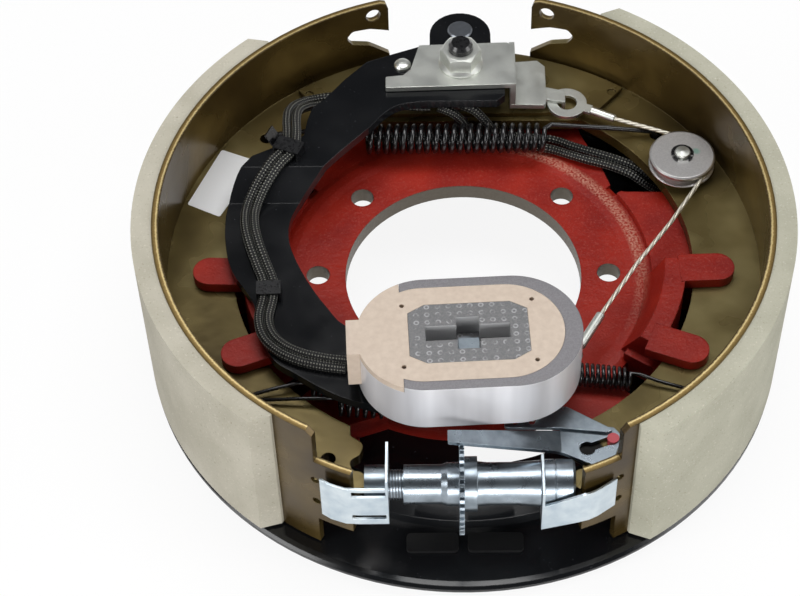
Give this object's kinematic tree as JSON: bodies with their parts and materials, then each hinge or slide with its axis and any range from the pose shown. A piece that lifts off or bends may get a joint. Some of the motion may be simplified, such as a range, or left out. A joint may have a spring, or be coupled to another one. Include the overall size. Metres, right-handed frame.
{
  "type": "electric drum brake assembly",
  "caption": "Left-hand electric trailer drum brake with cast spider, two lined shoes, magnet arm and forward self-adjuster",
  "frame": {"origin": "centre of the mounting flange bore, on the flange's rear face that meets the axle flange", "axes": "+Z along the axle, outwards towards the drum; +Y up towards the anchor; +X to the secondary shoe"},
  "size_m": [0.31, 0.3094, 0.098],
  "materials": {
    "cast_red": "sandy cast iron in dark red primer",
    "black_paint": "gloss black",
    "gold_brown_paint": "thin gold-brown paint over steel, glossy",
    "lining": "grey friction compound, ground",
    "zinc": "zinc plated",
    "bright_clip": "bright zinc plated sheet",
    "grey_steel": "satin plated",
    "dark_steel": "plain steel",
    "black_oxide": "black finished steel",
    "bronze": "sintered bronze",
    "magnet_steel": "drawn steel with a satin side",
    "coil_resin": "pale copper-beige face",
    "core_iron": "dotted grey core face",
    "cable_steel": "stranded wire",
    "braided_sleeve": "black braided sleeve",
    "black_rubber": "matt",
    "red_mark": "steel pin with a dab of red paint",
    "white_label": "plain white label"
  },
  "bodies": {
    "backing": {"spider": "cast_red", "dust_shield": "black_paint", "shield_screws": "zinc", "adjusting_slot_plugs": "black_rubber", "anchor_post": "dark_steel", "anchor_stud": "black_oxide", "shoe_guide_plate": "gold_brown_paint", "arm_spacer": "dark_steel", "arm_bushing": "bronze", "cable_bracket": "zinc", "pivot_nut": "zinc", "retractor_spring": "black_oxide", "shoe_spring": "black_oxide", "lever_spring": "black_oxide", "plate_lead_inner": "braided_sleeve", "plate_lead_outer": "braided_sleeve", "lead_grommet": "black_rubber", "adjuster_socket": "zinc"},
    "screw": {"adjuster_screw": "zinc"},
    "star": {"star_wheel_sleeve": "zinc"},
    "primary": {"primary_shoe": "gold_brown_paint", "primary_lining": "lining", "primary_clip": "bright_clip", "blank_label": "white_label"},
    "secondary": {"secondary_shoe": "gold_brown_paint", "secondary_lining": "lining", "secondary_clip": "bright_clip", "lever_pin": "red_mark", "guide_wheel_pin": "zinc", "guide_wheel_clip": "black_oxide", "adjusting_cable": "cable_steel", "cable_eyelet": "zinc", "upper_ferrule": "zinc", "lower_ferrule": "zinc"},
    "lever": {"adjusting_lever": "zinc", "lever_hook_plate": "zinc"},
    "pulley": {"cable_guide_wheel": "grey_steel"},
    "arm": {"actuating_arm": "black_paint", "spreading_pin": "dark_steel", "arm_rivet": "zinc", "magnet_pin": "dark_steel", "magnet_spring": "dark_steel", "arm_lead_inner": "braided_sleeve", "arm_lead_outer": "braided_sleeve", "upper_lead_clip": "black_oxide", "lower_lead_clip": "black_oxide", "magnet_clip": "bright_clip"},
    "magnet": {"magnet_case": "magnet_steel", "magnet_coil": "coil_resin", "magnet_core": "core_iron"}
  },
  "joints": [
    {"name": "arm_swing", "type": "hinge", "parent": "backing", "child": "arm", "pos_m": [0, 0.109, 0.0376], "axis": [0, 0, 1], "range_deg": [-3, 3]},
    {"name": "magnet_slide", "type": "slide", "parent": "arm", "child": "magnet", "axis": [0, 0, 1], "range_m": [-0.003, 0], "stiffness_N_per_m": 4000, "springref_m": 0.004, "deforming": ["magnet_spring"]},
    {"name": "primary_pivot", "type": "hinge", "parent": "backing", "child": "primary", "pos_m": [-0.05, -0.1272, 0.0159], "axis": [0, 0, 1], "range_deg": [0, 0.3]},
    {"name": "secondary_pivot", "type": "hinge", "parent": "backing", "child": "secondary", "pos_m": [0.0516, -0.1272, 0.0159], "axis": [0, 0, -1], "range_deg": [0, 0.3]},
    {"name": "lever_swing", "type": "hinge", "parent": "secondary", "child": "lever", "pos_m": [0.0656, -0.1077, 0.0205], "axis": [0, 0, -1], "range_deg": [0, 2.75]},
    {"name": "guide_wheel_spin", "type": "hinge", "parent": "secondary", "child": "pulley", "pos_m": [0.109, 0.0575, 0.0265], "axis": [0, 0, 1], "continuous": true},
    {"name": "star_turn", "type": "hinge", "parent": "backing", "child": "star", "pos_m": [0, -0.1272, 0.0159], "axis": [1, 0, 0], "range_deg": [0, 480]},
    {"name": "screw_feed", "type": "slide", "parent": "backing", "child": "screw", "axis": [-1, 0, 0], "range_m": [0, 0.002]}
  ],
  "couplings": [
    {"joint": "screw_feed", "follows": "star_turn", "m_per_rad": 0.00023873}
  ]
}
